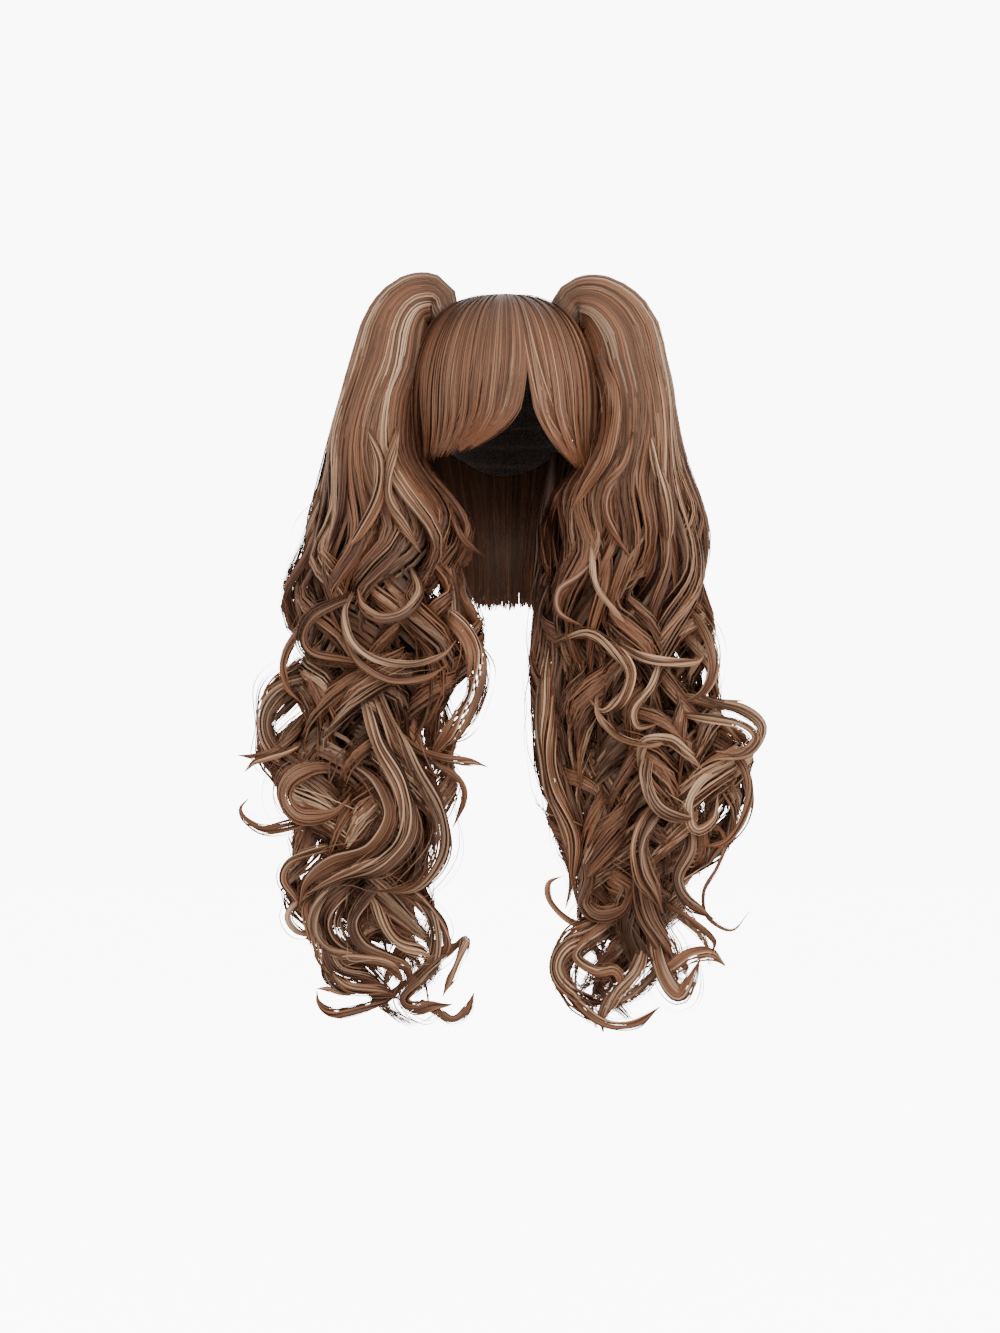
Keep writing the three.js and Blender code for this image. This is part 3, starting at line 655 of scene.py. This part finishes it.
def loose_curl(curl, steps, chance):
    """Strands of one curl. Its flat side turns as it goes, and its strands draw together at the tip."""
    half, depth, blond, dark, spots = curl
    count = int(15 + 3.0 * half)
    k = np.linspace(0, 1, len(spots))
    depths = (depth - starts_behind * (1 - ease(k / 0.35)) - tip_back * ease((k - 0.7) / 0.3)) / 1000
    line = smooth_line(from_picture(spots, depths), 600)
    gone = np.concatenate([[0], np.cumsum(np.linalg.norm(np.diff(line, axis=0), axis=1))])
    end = 1 - chance.gamma(1.3, 0.022, (count, 1)).clip(0, 0.25)
    share = np.linspace(0, 1, steps)[None, :] * end
    course = unit(np.gradient(line, axis=0))
    pick = lambda rows: np.stack([np.interp(share, gone / gone[-1], rows[:, i]) for i in range(3)], axis=-1)
    centre, along = pick(line), unit(pick(course))
    towards = np.array([0.0, -1.0, 0.0])
    flat_way = unit(np.cross(along, towards))
    out = np.cross(flat_way, along)
    twist = 0.6 * np.sin(2 * math.pi * (share * gone[-1] / 0.11 + chance.uniform(0, 1)))[..., None]
    across = flat_way * np.cos(twist) + out * np.sin(twist)
    out = out * np.cos(twist) - flat_way * np.sin(twist)
    spin = chance.uniform(0, 2 * math.pi, (count, 1)) + 0.4 * np.sin(8 * share)
    radius = np.sqrt(chance.uniform(0.04, 1, (count, 1)))
    loose = chance.uniform(0, 1, (count, 1))
    stray = 1 + (0.5 * (loose > 0.85) + 1.2 * (loose > 0.95)) * ease(share / 0.4)
    size = half / 1000 * mix(0.08, 1, ease((1.02 - share) / 0.28)) * mix(0.6, 1, ease(share / 0.3)) * stray
    lines = (
        centre
        + across * (size * radius * np.cos(spin))[..., None]
        + out * (0.45 * size * radius * np.sin(spin))[..., None]
    )
    facing = across * (0.4 * np.cos(spin))[..., None] + out * np.sin(spin)[..., None]
    width = curl_strand * mix(0.3, 1, ease((end - share) / 0.2)) * mix(0.5, 1, ease(share / 0.1))
    width = width * chance.uniform(0.65, 1.35, (count, 1)) * np.where(loose > 0.95, 0.5, 1)
    bright = np.where(chance.uniform(0, 1, (count, 1)) < blond, chance.uniform(0.45, 1, (count, 1)), 0.04)
    dyed = (bright * mix(0.6, 1, np.sin(math.pi * share)), 0.05 + 0.2 * ease((share - 0.5) / 0.5))
    # Painted shade: strands inside the curl, the curl's start within the tail and the curl's own dark share
    # darken it.
    shade = np.clip(dark + 0.3 * (1 - radius) + 0.5 * (1 - ease(share / 0.15)), 0, 0.97)
    dye_and_shade = np.stack(np.broadcast_arrays(*dyed, shade), axis=-1)
    return lines, facing, width, dye_and_shade, chance.uniform(0, 900) + 1.5 * spin[:, :1]


# Half width and depth in millimetres, share of blond, share of painted shade, and the places it passes.
curls_left = (
    (6, 96, 0.2, 0.1, ((370, 588), (345, 598), (312, 614), (300, 636), (310, 654), (345, 661), (380, 668))),
    (5, 80, 0.3, 0.0, ((365, 600), (330, 608), (298, 630), (282, 660), (284, 686), (300, 704))),
    (11, 74, 0.35, 0.0, ((352, 650), (318, 668), (280, 684), (265, 708), (264, 738), (277, 764),
                         (306, 776))),
    (3, 78, 0.3, 0.0, ((310, 715), (290, 738), (270, 752), (252, 757), (234, 756))),
    (3, 82, 0.2, 0.0, ((312, 735), (286, 752), (266, 759), (252, 763), (242, 773))),
    (10, 92, 0.15, 0.1, ((345, 770), (312, 768), (288, 780), (282, 800), (298, 818), (330, 816),
                         (348, 800))),
    (5, 84, 0.1, 0.0, ((362, 796), (330, 812), (290, 827), (262, 831), (244, 822), (238, 810), (246, 800))),
    (4, 104, 0.6, 0.0, ((352, 590), (343, 612), (350, 640), (372, 658), (408, 664), (440, 656), (456, 640))),
    (4, 102, 0.45, 0.0, ((340, 628), (356, 660), (388, 680), (424, 678), (448, 664))),
    (6, 100, 0.5, 0.1, ((410, 566), (418, 590), (404, 612), (380, 618), (362, 606), (356, 588))),
    (12, 78, 0.4, 0.0, ((430, 596), (456, 622), (476, 656), (476, 694), (458, 726), (436, 750), (434, 772))),
    (4, 88, 0.3, 0.0, ((392, 728), (414, 748), (444, 758), (470, 762), (488, 768))),
    (3, 84, 0.3, 0.0, ((398, 736), (432, 762), (458, 780), (464, 800), (452, 830))),
    (9, 100, 0.25, 0.25, ((372, 676), (388, 724), (416, 772), (438, 816), (440, 856), (416, 888),
                          (372, 894))),
    (9, 104, 0.3, 0.25, ((360, 690), (376, 740), (400, 788), (408, 836), (384, 866), (340, 878),
                         (302, 898))),
    (10, 98, 0.2, 0.25, ((340, 760), (372, 784), (388, 816), (370, 848), (330, 864), (304, 884),
                         (296, 912))),
    (5, 84, 0.3, 0.0, ((352, 846), (316, 852), (288, 864), (281, 882), (292, 900), (306, 922))),
    (4, 80, 0.2, 0.0, ((330, 880), (304, 898), (287, 916), (294, 932), (318, 942))),
    (15, 86, 0.1, 0.25, ((400, 840), (362, 868), (336, 892), (326, 922), (336, 950), (364, 974),
                         (394, 998))),
    (5, 98, 0.5, 0.0, ((376, 858), (338, 882), (316, 906), (312, 932), (326, 952), (358, 962), (388, 972))),
    (10, 94, 0.15, 0.15, ((322, 900), (308, 912), (318, 944), (334, 972), (366, 984), (394, 1000))),
    (6, 100, 0.4, 0.0, ((328, 950), (330, 966), (352, 962), (378, 964), (394, 974), (403, 990))),
    (7, 96, 0.2, 0.1, ((324, 960), (326, 978), (342, 990), (368, 994), (398, 1002))),
    (5, 90, 0.2, 0.0, ((406, 984), (384, 1002), (352, 1014), (330, 1016), (317, 1006), (315, 994))),
    (2.5, 92, 0.3, 0.0, ((372, 990), (344, 996), (326, 992), (314, 992))),
    (8, 96, 0.2, 0.1, ((384, 880), (364, 902), (352, 926), (362, 948), (388, 962), (406, 972), (408, 994))),
    (7, 100, 0.35, 0.05, ((368, 896), (380, 922), (398, 944), (424, 958), (436, 966))),
    (6, 98, 0.3, 0.0, ((384, 888), (412, 900), (430, 918), (436, 944), (428, 968), (410, 990))),
    (4, 102, 0.1, 0.1, ((392, 890), (420, 902), (440, 922), (446, 946), (438, 966))),
    (8, 94, 0.25, 0.1, ((428, 940), (434, 962), (416, 982), (402, 1002), (412, 1012), (434, 1010),
                        (452, 1008))),
    (4, 92, 0.3, 0.0, ((420, 1004), (440, 1018), (454, 1023), (468, 1012), (474, 996))),
    (6, 96, 0.3, 0.05, ((404, 1004), (418, 980), (440, 958), (466, 944))),
    (4, 98, 0.5, 0.0, ((450, 952), (465, 943), (457, 966), (442, 1000))),
    (2.5, 72, 0.2, 0.2, ((448, 500), (455, 522), (466, 541), (484, 555))),
    (6, 92, 0.35, 0.0, ((366, 425), (378, 462), (376, 500), (360, 530), (338, 554))),
    (5, 92, 0.3, 0.0, ((398, 425), (390, 460), (388, 494), (402, 522), (420, 552))),
    (9, 52, 0.2, 0.0, ((334, 450), (321, 500), (309, 545), (302, 585), (302, 620), (312, 652))),
    (8, 60, 0.15, 0.1, ((428, 510), (440, 545), (449, 580), (454, 615), (448, 650), (438, 680))),
)
curls_right = (
    (8, 44, 0.05, 0.55, ((556, 450), (544, 520), (540, 600), (538, 680), (542, 760), (560, 820),
                         (568, 870))),
    (9, 70, 0.25, 0.05, ((566, 600), (552, 660), (548, 730), (556, 790), (574, 840), (574, 880),
                         (580, 912))),
    (8, 62, 0.2, 0.2, ((560, 560), (546, 640), (542, 720), (548, 780), (566, 830), (572, 880), (566, 912))),
    (13, 58, 0.1, 0.35, ((578, 520), (566, 590), (560, 660), (562, 730), (570, 790), (584, 840),
                         (590, 890))),
    (12, 30, 0.05, 0.6, ((576, 480), (566, 560), (562, 640), (564, 720), (572, 790), (584, 850),
                         (594, 900))),
    (3, 100, 0.5, 0.0, ((604, 548), (580, 574), (560, 590), (560, 612), (584, 626))),
    (3, 104, 0.5, 0.0, ((592, 540), (596, 580), (612, 606), (630, 626))),
    (6, 102, 0.45, 0.05, ((556, 640), (588, 632), (614, 648), (632, 672), (624, 698), (604, 712),
                          (590, 700))),
    (3, 106, 0.6, 0.0, ((598, 690), (600, 716), (620, 738), (652, 746), (676, 738))),
    (3, 108, 0.6, 0.0, ((664, 652), (654, 684), (636, 710), (640, 728), (662, 724))),
    (6, 82, 0.6, 0.0, ((650, 576), (684, 600), (708, 630), (716, 664), (706, 692), (682, 704))),
    (5, 102, 0.7, 0.0, ((612, 640), (640, 656), (672, 662), (698, 662), (706, 656))),
    (6, 92, 0.3, 0.0, ((672, 694), (710, 702), (746, 710), (765, 728), (752, 752), (720, 758), (700, 768))),
    (4, 96, 0.4, 0.0, ((668, 712), (706, 718), (742, 724), (758, 738), (742, 754), (716, 752))),
    (1.5, 88, 0.2, 0.0, ((690, 690), (718, 700), (746, 701))),
    (5, 88, 0.35, 0.0, ((716, 744), (742, 762), (752, 792), (744, 824), (726, 844), (702, 848))),
    (4, 96, 0.7, 0.0, ((730, 768), (706, 780), (692, 804), (698, 830), (716, 820), (720, 796))),
    (5, 104, 0.6, 0.0, ((640, 770), (646, 744), (672, 740), (690, 756), (704, 770))),
    (8, 100, 0.45, 0.0, ((654, 744), (646, 776), (660, 806), (688, 820), (700, 812))),
    (1.6, 84, 0.1, 0.0, ((686, 822), (716, 826), (728, 844), (720, 868), (706, 894), (710, 920),
                         (734, 933), (752, 914))),
    (9, 98, 0.4, 0.05, ((680, 794), (652, 818), (641, 846), (646, 874), (656, 896), (664, 916))),
    (7, 92, 0.5, 0.0, ((690, 820), (692, 850), (680, 880), (690, 904), (716, 922))),
    (16, 82, 0.1, 0.4, ((644, 850), (642, 884), (654, 920), (668, 950), (680, 984))),
    (13, 78, 0.1, 0.4, ((640, 870), (630, 900), (632, 930), (640, 960), (634, 984))),
    (3, 92, 0.1, 0.15, ((646, 894), (680, 914), (702, 930), (716, 944), (714, 957))),
    (8, 98, 0.35, 0.05, ((650, 920), (656, 954), (668, 984), (680, 998), (692, 984), (702, 962))),
    (7, 96, 0.3, 0.05, ((660, 940), (668, 972), (690, 958), (712, 957), (728, 969))),
    (3, 86, 0.3, 0.0, ((612, 926), (576, 926), (552, 906), (549, 886), (563, 878))),
    (9, 96, 0.15, 0.1, ((632, 900), (594, 926), (566, 946), (557, 970), (566, 992), (588, 1014),
                        (612, 1030))),
    (7, 94, 0.1, 0.3, ((612, 936), (584, 952), (566, 974), (572, 994), (598, 1006), (612, 1000))),
    (5, 100, 0.2, 0.0, ((560, 972), (574, 1002), (604, 1026), (636, 1028), (662, 1010))),
    (7, 98, 0.3, 0.0, ((646, 940), (636, 974), (616, 998), (604, 1018), (604, 1036))),
    (6, 100, 0.35, 0.0, ((626, 916), (594, 936), (576, 958), (596, 974), (616, 974), (622, 990),
                         (610, 1004))),
    (7, 90, 0.15, 0.25, ((586, 850), (588, 880), (584, 906), (600, 918), (624, 912), (636, 892))),
    (4, 97, 0.45, 0.0, ((636, 430), (626, 462), (610, 486), (607, 508), (616, 532), (632, 556))),
    (4, 90, 0.7, 0.0, ((652, 430), (658, 462), (670, 494), (673, 522), (668, 550))),
    (7, 79, 0.2, 0.0, ((600, 352), (613, 388), (616, 420), (608, 454), (588, 484), (570, 512))),
)
for side, curls, seed in (("left", curls_left, 61), ("right", curls_right, 62)):
    chance = np.random.default_rng(seed)
    made = [loose_curl(curl, 44, chance) for curl in curls]
    parts = (np.concatenate(arrays) for arrays in zip(*made))
    strands(f"pigtail_{side}_loose_curls", *parts, f"pigtail_{side}")


# Floor and backdrop: a plain pale sheet of paper, far enough below the tips to lie out of their shadow, and
# lit from within so that it meets the white room without an edge.
floor_drop = 0.98
paper, shader, sums = new_material("pale_paper")
shader.inputs["Base Color"].default_value = (0.93, 0.93, 0.925, 1)
shader.inputs["Roughness"].default_value = 0.9
shader.inputs["Emission Color"].default_value = (1, 1, 1, 1)
shader.inputs["Emission Strength"].default_value = 9.0
floor_mesh = bpy.data.meshes.new("floor")
reach = 6.0
corners = ((-reach, -reach), (reach, -reach), (reach, reach), (-reach, reach))
floor_mesh.from_pydata([(x, y, -floor_drop) for x, y in corners], [], [(0, 1, 2, 3)])
floor_mesh.materials.append(paper)
floor = bpy.data.objects.new("floor", floor_mesh)
bpy.context.collection.objects.link(floor)
floor.visible_diffuse = False
floor.visible_glossy = False


# Light: two wide soft panels in front, the left one high and the right one lower and stronger, one over the
# top, one at each side, one behind, and a white room that the camera sees brighter than it lights.
world = bpy.data.worlds.new("white_room")
bpy.context.scene.world = world
world.use_nodes = True
tree = world.node_tree
tree.nodes.clear()
seen = tree.nodes.new("ShaderNodeBackground")
lighting = tree.nodes.new("ShaderNodeBackground")
which = tree.nodes.new("ShaderNodeLightPath")
chosen = tree.nodes.new("ShaderNodeMixShader")
out = tree.nodes.new("ShaderNodeOutputWorld")
lighting.inputs["Strength"].default_value = 1.15
seen.inputs["Strength"].default_value = 12.0
tree.links.new(which.outputs["Is Camera Ray"], chosen.inputs[0])
tree.links.new(lighting.outputs[0], chosen.inputs[1])
tree.links.new(seen.outputs[0], chosen.inputs[2])
tree.links.new(chosen.outputs[0], out.inputs[0])
for name, spot, aim, size, power in (
    ("key", (-0.8, -2.0, 1.1), (0, 0, -0.3), 1.6, 23.0),
    ("fill", (1.3, -2.0, 0.5), (0, 0, -0.35), 1.8, 35.0),
    ("top", (0.1, -0.3, 1.8), (0, -0.02, -0.2), 1.4, 7.0),
    ("left", (-2.2, -0.4, 0.1), (0, 0, -0.3), 1.6, 18.0),
    ("right", (2.2, -0.4, 0.1), (0, 0, -0.3), 1.6, 18.0),
    ("back", (0.3, 2.2, 0.9), (0, 0, -0.3), 1.8, 18.0),
):
    lamp = bpy.data.objects.new(name, bpy.data.lights.new(name, "AREA"))
    lamp.data.size = size
    lamp.data.energy = power
    lamp.location = spot
    lamp.rotation_euler = (Vector(aim) - Vector(spot)).to_track_quat("-Z", "Y").to_euler()
    bpy.context.collection.objects.link(lamp)
